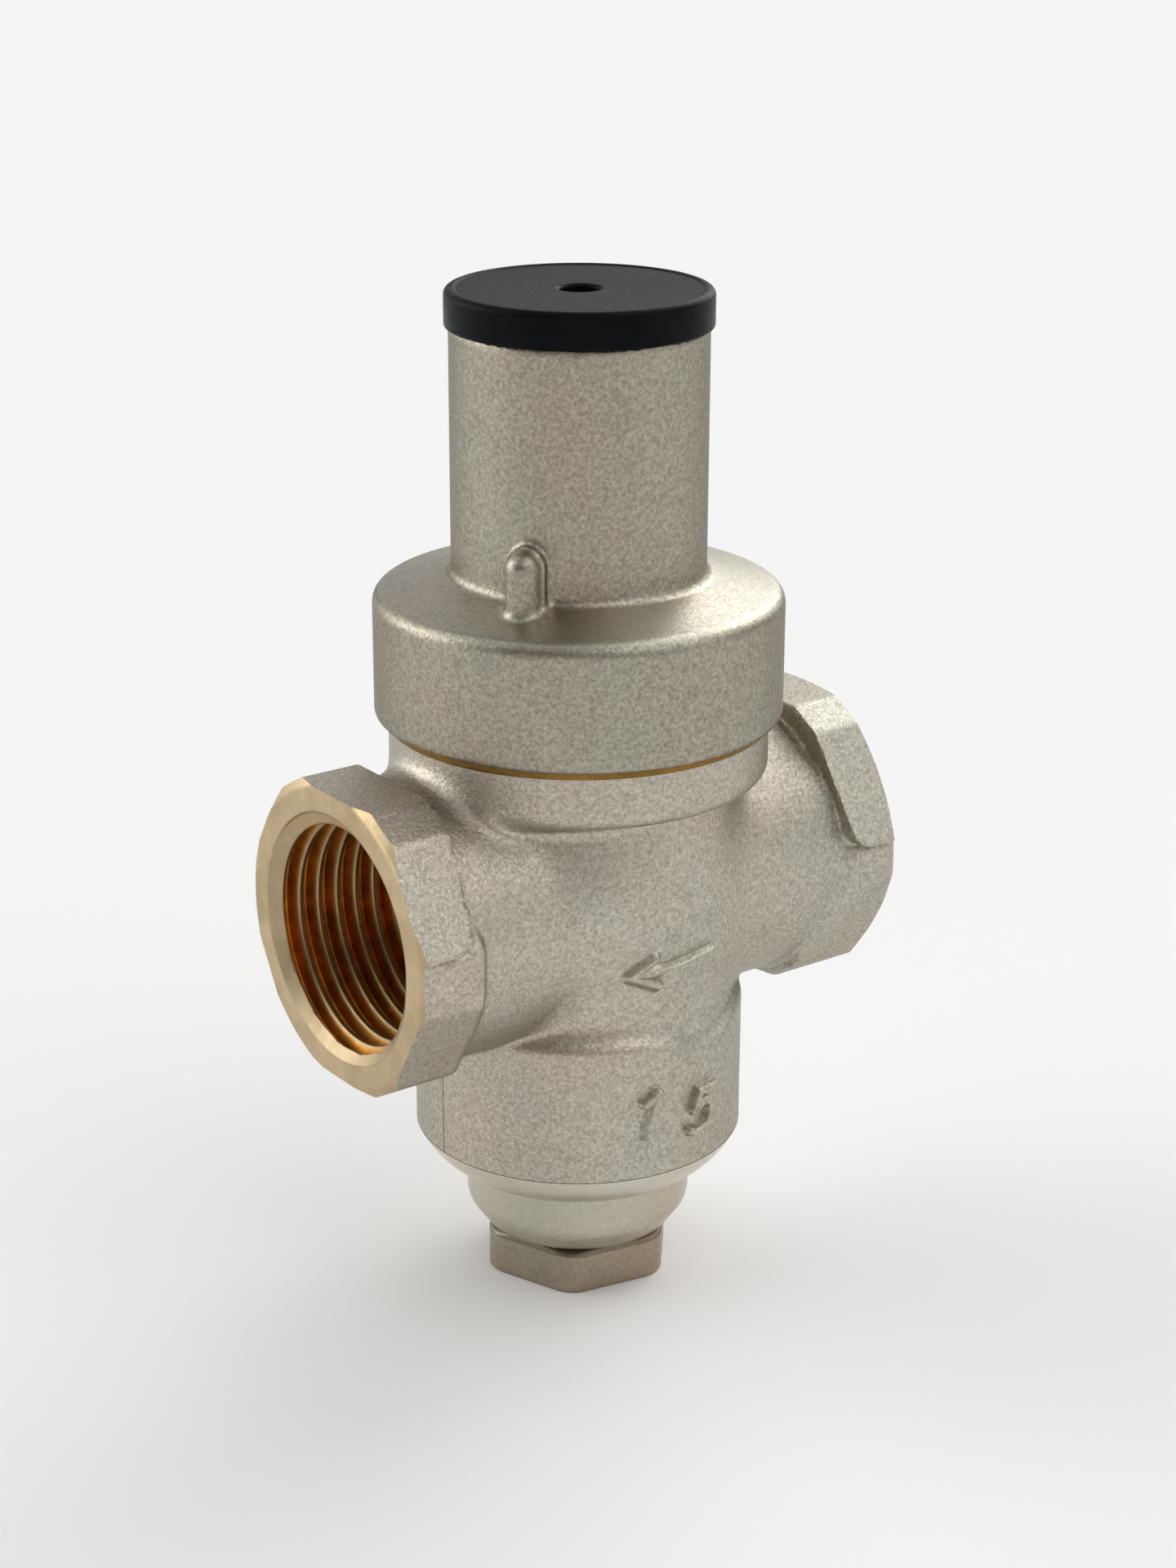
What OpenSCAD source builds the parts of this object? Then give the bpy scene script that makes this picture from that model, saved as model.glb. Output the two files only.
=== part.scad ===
// Pressure reducing valve: a forged body with two female threaded ports,
// a spring housing screwed on top, a push-in cap and a hexagon plug below.
// The origin is the centre of the plug's lower face and +Z runs up the stem.
// Water enters at +X and leaves at -X. The raised marks are on the -Y side.

/* [Ports] */
// Length of the body from port face to port face
port_span = 48.6; // [48:0.2:56]
// Height of the port axis above the underside of the boss
port_rise = 26; // [25:0.2:30]
// Radius of the port thread at its crests
thread_minor_r = 9.316; // [9:0.002:9.4]
// Radius of the port thread at its roots
thread_major_r = 10.478; // [10.2:0.002:10.6]
// Pitch of the port thread
thread_pitch = 1.814; // [1.7:0.002:2]
// Depth of each threaded port
port_depth = 13.2; // [11:0.1:13.4]
// Width across the lower flats of each port's hexagon
port_af = 24.6; // [24.4:0.1:26.4]
// Length of each port's hexagon along the flow
port_hex_l = 6; // [4:0.1:8]
// Radius that the hexagon's lower corners are cut down to
port_corner_r = 13.2; // [12.9:0.1:14.6]
// Radius of each port's flat face
port_face_r = 12.5; // [12:0.1:12.8]
// Thickness of the pads on the outlet's upper flats
outlet_pad = 0.2; // [0.1:0.1:1]
// Thickness of the pads on the inlet's upper flats
inlet_pad = 0.9; // [0.1:0.1:1.2]
// Height of the pads' lower edge above the port axis
pad_rise = 2.1; // [1:0.1:4]

/* [Body] */
// Radius of the tubes between the hexagons and the middle
branch_r = 12.1; // [11.8:0.1:12.4]
// Radius of the upright barrel
barrel_r = 13; // [12.5:0.1:13.4]
// Radius of the round middle of the body
ball_r = 14.2; // [13.5:0.1:14.6]
// Height of the round middle above the port axis
ball_rise = 1.6; // [0:0.1:3]
// Radius of the swells over the two passages
swell_r = 13.2; // [12.4:0.1:13.6]
// Radius of the lower boss
boss_r = 14.1; // [13.6:0.1:15]
// Height of the lower boss
boss_h = 16.1; // [15:0.1:17]
// Radius of the flat under the boss
foot_r = 9.95; // [9.7:0.05:11]
// Height of the turned foot of the boss
foot_h = 3.5; // [2:0.1:4.2]
// Radius of the turned foot's bulge
foot_round = 7.3; // [5:0.1:12]
// Radius of the collar under the spring housing
collar_r = 15.85; // [15.4:0.05:16.2]
// Height of the collar
collar_h = 4.9; // [4:0.1:6]
// Height of the collar's lower edge above the port axis
collar_rise = 9.6; // [9:0.1:10.4]
// Height of the bare machined land under the spring housing
land_h = 0.5; // [0.3:0.1:0.8]
// Height of the raised arrow and number
mark_raise = 0.45; // [0.2:0.05:0.7]

/* [Spring housing] */
// Radius of the skirt
skirt_r = 17; // [16.6:0.1:18]
// Height of the skirt up to its shoulder
skirt_h = 10.4; // [9.6:0.1:12]
// Rise of the shoulder from its edge to the tube
shoulder_rise = 1.4; // [0.8:0.1:2.4]
// Radius of the tube
tube_r = 10.5; // [10.2:0.1:11]
// Wall of the tube
tube_wall = 1.6; // [1.3:0.1:1.8]
// Height of the tube above the shoulder
tube_h = 20.35; // [20:0.05:26]
// Radius of the lug beside the tube
lug_r = 1.4; // [1.2:0.1:2]
// Height of the lug's straight side
lug_h = 3.8; // [3:0.1:7]
// Direction of the lug round the axis
lug_angle = 212; // [0:1:359]
// Half width of the web between the lug and the tube
lug_web = 1.7; // [1.4:0.1:2.4]

/* [Cap] */
// Radius of the cap's head
cap_r = 10.86; // [10.7:0.02:11.6]
// Height of the cap's head
cap_h = 3.05; // [2.4:0.05:4]
// Length of the cap's spigot in the tube
cap_spigot_l = 2; // [1:0.1:2.4]
// Radius of the cap's centre hole
cap_hole_r = 1.8; // [1:0.1:2.4]

/* [Bottom plug] */
// Width across the flats of the plug's hexagon
plug_af = 14.7; // [14:0.1:16]
// Height of the plug's hexagon
plug_hex_h = 3.6; // [3:0.1:6]
// Height of the taper above the hexagon
plug_taper_h = 2.3; // [1.6:0.1:4]
// Radius of the plug's collar
plug_collar_r = 9.6; // [9.4:0.1:10]
// Height of the plug's collar
plug_collar_h = 3.9; // [3:0.1:6]
// Radius of the plug's thread
plug_thread_r = 8; // [7.8:0.05:8.2]
// Length of the plug's thread
plug_thread_l = 8.2; // [7.6:0.1:9]
// Depth of metal under the plug's guide bore, above the boss's underside
plug_floor = 1.4; // [0.6:0.1:2]
// Turn of the plug's hexagon when it is tight
plug_angle = 20; // [0:1:59]

/* [Piston and stem] */
// Radius of the piston's cylinder
cylinder_r = 12; // [11.6:0.05:12.2]
// Height of the piston
piston_h = 8.6; // [8.2:0.1:8.8]
// Depth of the spring's recess in the piston
recess_depth = 2.5; // [1.5:0.1:2.6]
// Lift of the piston from open to closed
lift = 2.5; // [1.5:0.1:2.5]
// Radius of the stem
stem_r = 2.8; // [2.5:0.1:3.2]
// Radius of the stem's threaded ends
stem_end_r = 2; // [1.6:0.1:2.2]
// Width across the flats of the stem's nut
nut_af = 7; // [6:0.1:8]
// Height of the stem's nut
nut_h = 3.2; // [2:0.1:4]
// Radius of the balance spigot
spigot_r = 5; // [4.6:0.05:5.4]

/* [Seat and disc] */
// Radius of the seat's opening
seat_r = 5.5; // [5:0.1:5.8]
// Radius of the seat ring's body
seat_body_r = 7.6; // [7.2:0.1:8]
// Thickness of the seat ring's flange
seat_flange_t = 1.4; // [1:0.1:2]
// Thickness of the web that holds the seat ring
web_t = 3.8; // [3.4:0.1:4.4]
// Thickness of the rubber disc
seal_t = 2.2; // [1.6:0.1:3]
// Thickness of the disc's clamp washer
clamp_t = 1.2; // [0.8:0.1:1.6]
// Thickness of the disc holder under the rubber disc
holder_t = 3; // [2:0.1:4]

/* [Adjusting screw and spring] */
// Height of the adjusting screw
screw_h = 5; // [4:0.1:6]
// Depth of the adjusting screw below the tube's rim
screw_drop = 5.75; // [5.4:0.05:7]
// Width across the flats of the screw's socket
socket_af = 8; // [6:0.1:9]
// Pitch of the adjusting screw's thread
screw_pitch = 1.5; // [1:0.1:1.5]
// Thickness of the thrust washer
washer_t = 1.2; // [0.8:0.1:2]
// Diameter of the spring's wire
wire_d = 2; // [1.6:0.1:2.2]
// Mean radius of the spring
coil_r = 6.9; // [6.6:0.1:7.2]
// Number of turns of the spring
coil_turns = 6; // [4:1:6]

/* [Hidden] */
$fn = 64;
// running clearance between a sliding piece and its bore
run_clear = 0.05;
// clearance between pieces that are screwed or seated together
fit = 0.02;
// overlap that makes a cut pass cleanly through a face
cut = 1;
// segments in a rounded corner of a turned outline
arc_steps = 6;

// heights above the base, from the plug up
boss_z = plug_hex_h + plug_taper_h + plug_collar_h;
boss_top = boss_z + boss_h;
port_z = boss_z + port_rise;
collar_z = port_z + collar_rise;
land_z = collar_z + collar_h;
housing_z = land_z + land_h;
shoulder_z = housing_z + skirt_h;
tube_base = shoulder_z + shoulder_rise;
tube_top = tube_base + tube_h;

// outside of the body
edge_round = 1;
ledge_rise = 1.6;
ball_z = port_z + ball_rise;
swell_x = 5;
swell_rise = 3;
land_lip = 0.3;
land_r = collar_r + land_lip;
neck_inset = 1.65;
neck_r = collar_r - neck_inset;
neck_drop = 3.4;
neck_top = shoulder_z - neck_drop;
neck_chamfer = 0.6;
hex_chamfer_tan = tan(30);
hex_rim_r = port_corner_r + inlet_pad + cut;

// port thread
thread_land = 0.3;
thread_root = 0.3;
mouth_margin = 0.12;
mouth_r = thread_major_r + mouth_margin;
mouth_chamfer = mouth_r - thread_minor_r;
groove_w = thread_pitch - thread_land;
groove_flank = (groove_w - thread_root) / 2;
thread_mid = (mouth_chamfer + port_depth) / 2;
groove_half_count = floor((port_depth - mouth_chamfer - thread_land) / 2 / thread_pitch);
grooves = 2 * groove_half_count;
groove_z = thread_mid - groove_half_count * thread_pitch + thread_land / 2;
crest_relief = 0.05;
crest_r = thread_minor_r + crest_relief;
strip_angle = 8;
port_inner_x = port_span / 2 - port_depth;

// chambers and passages in the body
web_drop = 0.1;
web_z = port_z - web_t / 2 - web_drop;
web_top = web_z + web_t;
upper_wall = 1.8;
upper_r = cylinder_r - upper_wall;
cylinder_z = collar_z + edge_round;
lower_wall = 1.2;
lower_r = plug_thread_r + lower_wall;
lower_relief = 0.3;
lower_z = boss_z + plug_thread_l + lower_relief;
passage_wall = 0.5;
inlet_r = 4.2;
inlet_z = web_z - passage_wall - inlet_r;
outlet_r = 3.4;
outlet_z = web_top + passage_wall + outlet_r;

// marks on the front of the body
arrow_l = 9.4;
arrow_head_l = 3.6;
arrow_head_w = 4.2;
arrow_shaft_w = 1.3;
arrow_drop = 3.4;
arrow_z = port_z - arrow_drop;
digit_w = 2.6;
digit_h = 4.4;
digit_stroke = 0.8;
digit_gap = 4;
digit_rise = 8.6;
digit_z = boss_z + digit_rise;

// plug and its seal
hex_neck_margin = 0.1;
hex_corner_margin = 0.4;
plug_hex_neck = plug_af / 2 + hex_neck_margin;
plug_hex_outer = plug_af / sqrt(3) + hex_corner_margin;
plug_hex_chamfer = (plug_hex_outer - plug_hex_neck) * hex_chamfer_tan;
plug_top_z = boss_z + plug_thread_l;
plug_chamfer = 0.5;
plug_seal_d = 1.3;
plug_neck_step = 0.3;
plug_neck_r = plug_thread_r - plug_neck_step;
plug_seat_r = plug_neck_r + plug_seal_d + 2 * fit;
plug_seat_h = plug_seal_d + 2 * fit;
guide_z = boss_z + plug_floor;
guide_r = spigot_r + run_clear;

// piston and its rings
stop_clear = 0.05;
piston_r = cylinder_r - run_clear;
piston_z = cylinder_z + stop_clear;
piston_top = piston_z + piston_h;
recess_z = piston_top - recess_depth;
recess_clear = 0.7;
recess_r = coil_r + wire_d / 2 + recess_clear;
ring_wall = 0.6;
ring_d = 1.8;
backup_t = 0.9;
seal_groove_r = piston_r - ring_d - fit;
seal_groove_w = ring_d + backup_t + 3 * fit;
seal_groove_z = recess_z - ring_wall - seal_groove_w;
guide_t = 1.2;
guide_depth = 1;
guide_groove_w = guide_t + 2 * fit;
guide_groove_z = piston_z + ring_wall;

// seat, disc and stem
seat_lip = 1.3;
lip_z = web_z - seat_lip;
lip_w = 0.8;
lip_r = seat_r + lip_w;
flange_clear = 1.2;
seat_flange_r = upper_r - flange_clear;
seat_seal_d = 1.2;
seat_groove_r = seat_body_r - seat_seal_d;
seat_groove_w = seat_seal_d + 2 * fit;
seat_groove_z = web_top - ring_wall - seat_groove_w;
seal_top = lip_z - lift - fit;
seal_z = seal_top - seal_t;
holder_clear = 0.3;
holder_r = plug_thread_r - holder_clear;
holder_rim = 0.8;
holder_rim_drop = 0.5;
holder_z = seal_z - holder_t;
seal_r = holder_r - holder_rim - fit;
clamp_clear = 0.9;
clamp_r = seat_r - clamp_clear;
shank_z = seal_top + clamp_t;
stem_end_l = 10;
stem_end_z = shank_z - stem_end_l;
stem_tip = 0.8;
stem_top = recess_z + nut_h + stem_tip;
vent_r = 0.8;
vent_rise = 4.4;
vent_z = web_top + vent_rise;
spigot_clear = 0.6;
spigot_z = guide_z + spigot_clear;
balance_d = 1.2;
balance_groove_r = spigot_r - balance_d - fit;
balance_groove_w = balance_d + 2 * fit;
balance_groove_z = spigot_z + ring_wall;

// housing
housing_bore_r = neck_r + fit;
housing_top_gap = 0.9;
housing_ceiling = neck_top + housing_top_gap;
housing_chamfer = 0.4;
shoulder_edge_angle = 75;
tube_bore_r = tube_r - tube_wall;
tube_fillet = 0.8;
lug_gap = 0.05;
lug_center = tube_r + lug_r + lug_gap;
lug_dome_z = tube_base + lug_h;
web_x = tube_r - tube_wall / 2;
web_l = lug_center - lug_r / 2 - web_x;

// screw, washer and cap
screw_r = tube_bore_r - run_clear;
screw_z = tube_top - screw_drop - screw_h;
screw_groove = 0.6;
screw_grooves = floor((screw_h - screw_groove) / screw_pitch);
socket_chamfer = 0.6;
washer_z = screw_z - washer_t;
washer_clear = 0.6;
washer_r = tube_bore_r - washer_clear;
washer_lap = 1.4;
washer_hole_r = coil_r - wire_d / 2 - washer_lap;
cap_round = 0.8;
cap_top_t = 1.6;
cap_spigot_r = tube_bore_r - run_clear;
cap_spigot_wall = 1.6;
cap_bore_r = cap_spigot_r - cap_spigot_wall;
cap_top = tube_top + cap_h;

// spring, wound from the piston's recess to the thrust washer
spring_sides = 6;
spring_rings = 8;
spring_end_gap = 0.1;
spring_z = recess_z + spring_end_gap;
spring_rise = washer_z - spring_end_gap - spring_z - wire_d;
end_gap = 0.45;
end_pitch = wire_d + end_gap;
mid_pitch = (spring_rise - 2 * end_pitch) / (coil_turns - 2);
function coil_height(t) =
    t < 1 ? t * end_pitch :
    t > coil_turns - 1 ? spring_rise - (coil_turns - t) * end_pitch :
    end_pitch + (t - 1) * mid_pitch;
function coil_center(i) =
    let (t = i / spring_rings)
    [coil_r * cos(360 * t), coil_r * sin(360 * t), spring_z + wire_d / 2 + coil_height(t)];
function coil_point(i, j) =
    let (c = coil_center(i), a = 360 * i / spring_rings, b = 90 + 360 * j / spring_sides)
    c + wire_d / 2 * [cos(b) * cos(a), cos(b) * sin(a), sin(b)];
spring_last = coil_turns * spring_rings;
spring_gap = min([for (i = [0 : spring_last - spring_rings])
    norm(coil_center(i + spring_rings) - coil_center(i))]) - wire_d;
echo(spring_gap = spring_gap);

function arc(cx, cy, r, from, to) =
    [for (i = [0 : arc_steps]) let (a = from + (to - from) * i / arc_steps)
        [cx + r * cos(a), cy + r * sin(a)]];
// an arc from a to b that bulges to the right of the way
function bulge(a, b, r) =
    let (way = (b - a) / norm(b - a), half = norm(b - a) / 2,
        c = (a + b) / 2 + sqrt(r * r - half * half) * [-way[1], way[0]])
    arc(c[0], c[1], r, atan2(a[1] - c[1], a[0] - c[0]), atan2(b[1] - c[1], b[0] - c[0]));

// a cylinder from one height to another
module rod(r, z0, z1) {
    translate([0, 0, z0]) cylinder(r = r, h = z1 - z0);
}

// a ring of square section
module flat_ring(inner, outer, z0, z1) {
    difference() {
        rod(outer, z0, z1);
        rod(inner, z0 - cut, z1 + cut);
    }
}

// a ring of round section
module o_ring(inner, d, z0) {
    translate([0, 0, z0 + d / 2]) rotate_extrude() translate([inner + d / 2, 0]) circle(d = d);
}

// a hexagon bar with flats facing +X and -X
module hex_bar(af, z0, z1) {
    translate([0, 0, z0]) rotate(30) cylinder(r = af / sqrt(3), h = z1 - z0, $fn = 6);
}

// places children at a port's face, with their +Z running into the body
module at_port(side) {
    translate([side * port_span / 2, 0, port_z]) rotate([0, -90 * side, 0]) children();
}

// outside of the body turned round the stem's axis
module body_upright() {
    rotate_extrude() polygon(concat(
        [[0, boss_z]],
        bulge([foot_r, boss_z], [boss_r, boss_z + foot_h], foot_round),
        arc(boss_r - edge_round, boss_top - edge_round, edge_round, 0, 90),
        [[barrel_r, boss_top + ledge_rise], [barrel_r, collar_z]],
        arc(collar_r - edge_round, collar_z + edge_round, edge_round, -90, 0),
        [[collar_r, land_z], [land_r, land_z], [land_r, housing_z], [neck_r, housing_z]],
        [[neck_r, neck_top - neck_chamfer], [neck_r - neck_chamfer, neck_top], [0, neck_top]]
    ));
}

// a bar for a port's hexagon, with its corners cut down to a radius
module cut_hexagon(af, corner_r) {
    intersection() {
        hex_bar(af, -cut, port_hex_l + cut);
        rod(corner_r, -cut, port_hex_l + cut);
    }
}

// forged end of a port, chamfered at its face, whose upper flats are raised pads
module port_hexagon(side) {
    pad = side < 0 ? outlet_pad : inlet_pad;
    at_port(side) intersection() {
        union() {
            cut_hexagon(port_af, port_corner_r);
            intersection() {
                cut_hexagon(port_af + 2 * pad, port_corner_r + pad);
                translate([side * (pad_rise + hex_rim_r), 0, 0]) cube(2 * hex_rim_r, center = true);
            }
        }
        rotate_extrude() polygon([
            [0, 0], [port_face_r, 0],
            [hex_rim_r, (hex_rim_r - port_face_r) * hex_chamfer_tan],
            [hex_rim_r, port_hex_l], [0, port_hex_l]
        ]);
    }
}

// bore of a port, with a chamfered mouth
module port_bore(side) {
    at_port(side) rotate_extrude() polygon([
        [0, -cut], [mouth_r, -cut], [mouth_r, 0], [thread_minor_r, mouth_chamfer],
        [thread_minor_r, port_depth], [0, port_depth]
    ]);
}

// grooves of a port's thread, as rings that leave a narrow strip of plain wall
module port_grooves(side) {
    groove = [
        [crest_r, 0], [thread_major_r, groove_flank],
        [thread_major_r, groove_flank + thread_root], [crest_r, groove_w]
    ];
    at_port(side) translate([0, 0, groove_z]) rotate(strip_angle / 2)
        rotate_extrude(angle = 360 - strip_angle) polygon(concat(
            [[thread_minor_r - cut, 0]],
            [for (i = [0 : grooves - 1], p = groove) p + [0, i * thread_pitch]],
            [[thread_minor_r - cut, (grooves - 1) * thread_pitch + groove_w]]
        ));
}

// a flat outline pushed out through the front of the body
module on_front(z) {
    translate([0, 0, z]) rotate([90, 0, 0]) linear_extrude(collar_r + cut) children();
}

// outline of the flow arrow, pointing to the outlet
module arrow_outline() {
    head_x = -arrow_l / 2 + arrow_head_l;
    polygon([
        [-arrow_l / 2, 0], [head_x, arrow_head_w / 2], [head_x, arrow_shaft_w / 2],
        [arrow_l / 2, arrow_shaft_w / 2], [arrow_l / 2, -arrow_shaft_w / 2],
        [head_x, -arrow_shaft_w / 2], [head_x, -arrow_head_w / 2]
    ]);
}

// outline of the number 15, the nominal bore of the ports
module number_outline() {
    one_x = -digit_gap / 2 - digit_stroke;
    five_x = digit_gap / 2;
    bar = digit_stroke;
    half = digit_h / 2;
    translate([one_x, -half]) square([bar, digit_h]);
    translate([one_x - bar, half - 2 * bar]) square([bar + fit, bar]);
    for (z = [-half, -bar / 2, half - bar]) translate([five_x, z]) square([digit_w, bar]);
    translate([five_x, -bar / 2]) square([bar, half + bar / 2]);
    translate([five_x + digit_w - bar, -half]) square([bar, half + bar / 2]);
}

module valve_body() {
    color("silver") difference() {
        union() {
            body_upright();
            translate([0, 0, ball_z]) sphere(r = ball_r);
            for (side = [-1, 1])
                translate([side * swell_x, 0, port_z - side * swell_rise]) sphere(r = swell_r);
            translate([-port_span / 2 + port_hex_l / 2, 0, port_z]) rotate([0, 90, 0])
                cylinder(r = branch_r, h = port_span - port_hex_l);
            for (side = [-1, 1]) port_hexagon(side);
            intersection() {
                on_front(arrow_z) arrow_outline();
                translate([0, 0, ball_z]) sphere(r = ball_r + mark_raise);
            }
            intersection() {
                on_front(digit_z) number_outline();
                rod(boss_r + mark_raise, boss_z, boss_top);
            }
        }
        for (side = [-1, 1]) {
            port_bore(side);
            port_grooves(side);
        }
        rod(plug_seat_r, boss_z - cut, boss_z + plug_seat_h);
        rod(plug_thread_r + fit, boss_z - cut, lower_z + cut);
        rod(lower_r, lower_z, web_z);
        rod(seat_body_r + fit, web_z - cut, web_top + cut);
        rod(upper_r, web_top, cylinder_z + cut);
        rod(cylinder_r, cylinder_z, neck_top + cut);
        translate([0, 0, inlet_z]) rotate([0, 90, 0]) cylinder(r = inlet_r, h = port_inner_x + cut);
        translate([0, 0, outlet_z]) rotate([0, -90, 0]) cylinder(r = outlet_r, h = port_inner_x + cut);
    }
}

module spring_housing() {
    color("silver") difference() {
        union() {
            rotate_extrude() polygon(concat(
                [[0, housing_z], [skirt_r - housing_chamfer, housing_z]],
                [[skirt_r, housing_z + housing_chamfer]],
                arc(skirt_r - edge_round, shoulder_z - edge_round, edge_round, 0, shoulder_edge_angle),
                arc(tube_r + tube_fillet, tube_base + tube_fillet, tube_fillet, 270, 180),
                [[tube_r, tube_top], [0, tube_top]]
            ));
            rotate(lug_angle) {
                translate([lug_center, 0, 0]) rod(lug_r, shoulder_z, lug_dome_z);
                translate([lug_center, 0, lug_dome_z]) sphere(r = lug_r);
                translate([web_x, 0, lug_dome_z]) rotate([0, 90, 0]) cylinder(r = lug_web, h = web_l);
                translate([web_x, -lug_web, shoulder_z]) cube([web_l, 2 * lug_web, lug_dome_z - shoulder_z]);
            }
        }
        rod(housing_bore_r, housing_z - cut, housing_ceiling);
        rod(tube_bore_r, housing_ceiling - cut, tube_top + cut);
    }
}

module top_cap() {
    color("#1c1c1d") rotate_extrude() polygon(concat(
        [[cap_hole_r, cap_top - cap_top_t], [cap_bore_r, cap_top - cap_top_t]],
        [[cap_bore_r, tube_top - cap_spigot_l], [cap_spigot_r, tube_top - cap_spigot_l]],
        [[cap_spigot_r, tube_top + fit], [cap_r, tube_top + fit]],
        arc(cap_r - cap_round, cap_top - cap_round, cap_round, 0, 90),
        [[cap_hole_r, cap_top]]
    ));
}

module bottom_plug() {
    color("#8d8776") difference() {
        union() {
            intersection() {
                rotate(plug_angle) hex_bar(plug_af, 0, plug_hex_h);
                rotate_extrude() polygon([
                    [0, 0], [plug_hex_neck, 0], [plug_hex_outer, plug_hex_chamfer],
                    [plug_hex_outer, plug_hex_h - plug_hex_chamfer],
                    [plug_hex_neck, plug_hex_h], [0, plug_hex_h]
                ]);
            }
            rotate_extrude() polygon([
                [0, plug_hex_h], [plug_hex_neck, plug_hex_h],
                [plug_collar_r, plug_hex_h + plug_taper_h], [plug_collar_r, boss_z],
                [plug_neck_r, boss_z], [plug_neck_r, boss_z + plug_seat_h],
                [plug_thread_r, boss_z + plug_seat_h + plug_chamfer],
                [plug_thread_r, plug_top_z - plug_chamfer],
                [plug_thread_r - plug_chamfer, plug_top_z], [0, plug_top_z]
            ]);
        }
        rod(guide_r, guide_z, plug_top_z + cut);
    }
}

module plug_o_ring() {
    color("#222222") o_ring(plug_neck_r + fit, plug_seal_d, boss_z + fit);
}

module adjusting_screw() {
    color("#c8a24a") difference() {
        rotate_extrude() polygon(concat(
            [[0, screw_z], [screw_r - screw_groove, screw_z]],
            [for (i = [0 : screw_grooves - 1], k = [0 : 1])
                [k == 0 ? screw_r : screw_r - screw_groove,
                 screw_z + screw_groove + (i + k / 2) * screw_pitch]],
            [[screw_r, screw_z + screw_h - screw_groove]],
            [[screw_r - screw_groove, screw_z + screw_h], [0, screw_z + screw_h]]
        ));
        hex_bar(socket_af, screw_z - cut, screw_z + screw_h + cut);
        translate([0, 0, screw_z + screw_h - socket_chamfer]) cylinder(
            r1 = socket_af / 2, r2 = socket_af / 2 + 2 * socket_chamfer, h = 2 * socket_chamfer);
    }
}

module thrust_washer() {
    color("lightgrey") flat_ring(washer_hole_r, washer_r, washer_z, screw_z - fit);
}

module setting_spring() {
    rings = [for (i = [0 : spring_last], j = [0 : spring_sides - 1]) coil_point(i, j)];
    sides = [for (i = [0 : spring_last - 1], j = [0 : spring_sides - 1], k = [0 : 1])
        let (next = (j + 1) % spring_sides, a = i * spring_sides, b = a + spring_sides)
        k == 0 ? [a + j, a + next, b + j] : [a + next, b + next, b + j]];
    end = spring_last * spring_sides;
    first_end = [for (j = [1 : spring_sides - 2]) [0, j + 1, j]];
    last_end = [for (j = [1 : spring_sides - 2]) [end, end + j, end + j + 1]];
    color("slategrey") polyhedron(rings, concat(sides, first_end, last_end));
}

module piston() {
    color("#c8a24a") difference() {
        rod(piston_r, piston_z, piston_top);
        rod(recess_r, recess_z, piston_top + cut);
        rod(stem_end_r + fit, piston_z - cut, piston_top);
        flat_ring(seal_groove_r, cylinder_r, seal_groove_z, seal_groove_z + seal_groove_w);
        flat_ring(piston_r - guide_depth, cylinder_r, guide_groove_z, guide_groove_z + guide_groove_w);
    }
}

module piston_o_ring() {
    color("#222222") o_ring(seal_groove_r + fit, ring_d, seal_groove_z + fit);
}

module piston_backup_ring() {
    color("white") flat_ring(seal_groove_r + fit, piston_r,
        seal_groove_z + ring_d + 2 * fit, seal_groove_z + seal_groove_w - fit);
}

module piston_guide_ring() {
    color("white") flat_ring(piston_r - guide_depth + fit, piston_r,
        guide_groove_z + fit, guide_groove_z + fit + guide_t);
}

module valve_stem() {
    color("lightgrey") difference() {
        union() {
            rod(stem_r, shank_z, piston_z);
            rod(stem_end_r, stem_end_z, stem_top);
        }
        rod(vent_r, stem_end_z - cut, vent_z);
        translate([0, 0, vent_z]) rotate([90, 0, 0]) cylinder(r = vent_r, h = 3 * stem_r, center = true);
    }
}

module stem_nut() {
    color("lightgrey") difference() {
        hex_bar(nut_af, recess_z, recess_z + nut_h);
        rod(stem_end_r + fit, recess_z - cut, recess_z + nut_h + cut);
    }
}

module seat_ring() {
    color("lightgrey") rotate_extrude() difference() {
        polygon([
            [seat_r, lip_z], [lip_r, lip_z], [seat_body_r, web_z], [seat_body_r, web_top],
            [seat_flange_r, web_top], [seat_flange_r, web_top + seat_flange_t],
            [seat_r, web_top + seat_flange_t]
        ]);
        translate([seat_groove_r, seat_groove_z]) square([seat_seal_d + cut, seat_groove_w]);
    }
}

module seat_o_ring() {
    color("#222222") o_ring(seat_groove_r + fit, seat_seal_d - fit, seat_groove_z + fit);
}

module disc_washer() {
    color("lightgrey") flat_ring(stem_end_r + fit, clamp_r, seal_top, shank_z);
}

module disc_seal() {
    color("#222222") flat_ring(stem_end_r + fit, seal_r, seal_z, seal_top);
}

module disc_holder() {
    color("#c8a24a") difference() {
        union() {
            rod(holder_r, holder_z, seal_top - holder_rim_drop);
            rod(spigot_r, spigot_z, holder_z + fit);
        }
        rod(seal_r + fit, seal_z, seal_top);
        rod(stem_end_r + fit, stem_end_z - fit, seal_top);
        rod(vent_r, spigot_z - cut, seal_z);
        flat_ring(balance_groove_r, guide_r, balance_groove_z, balance_groove_z + balance_groove_w);
    }
}

module balance_o_ring() {
    color("#222222") o_ring(balance_groove_r + fit, balance_d, balance_groove_z + fit);
}

valve_body();
spring_housing();
top_cap();
bottom_plug();
plug_o_ring();
adjusting_screw();
thrust_washer();
setting_spring();
piston();
piston_o_ring();
piston_backup_ring();
piston_guide_ring();
valve_stem();
stem_nut();
seat_ring();
seat_o_ring();
disc_washer();
disc_seal();
disc_holder();
balance_o_ring();
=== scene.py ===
"""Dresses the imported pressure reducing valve: plated forging, turned brass, black cap.

Lengths are in millimetres until a mesh is made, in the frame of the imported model.
"""
import math

import bpy
import numpy as np
from mathutils import Matrix, Vector


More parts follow.
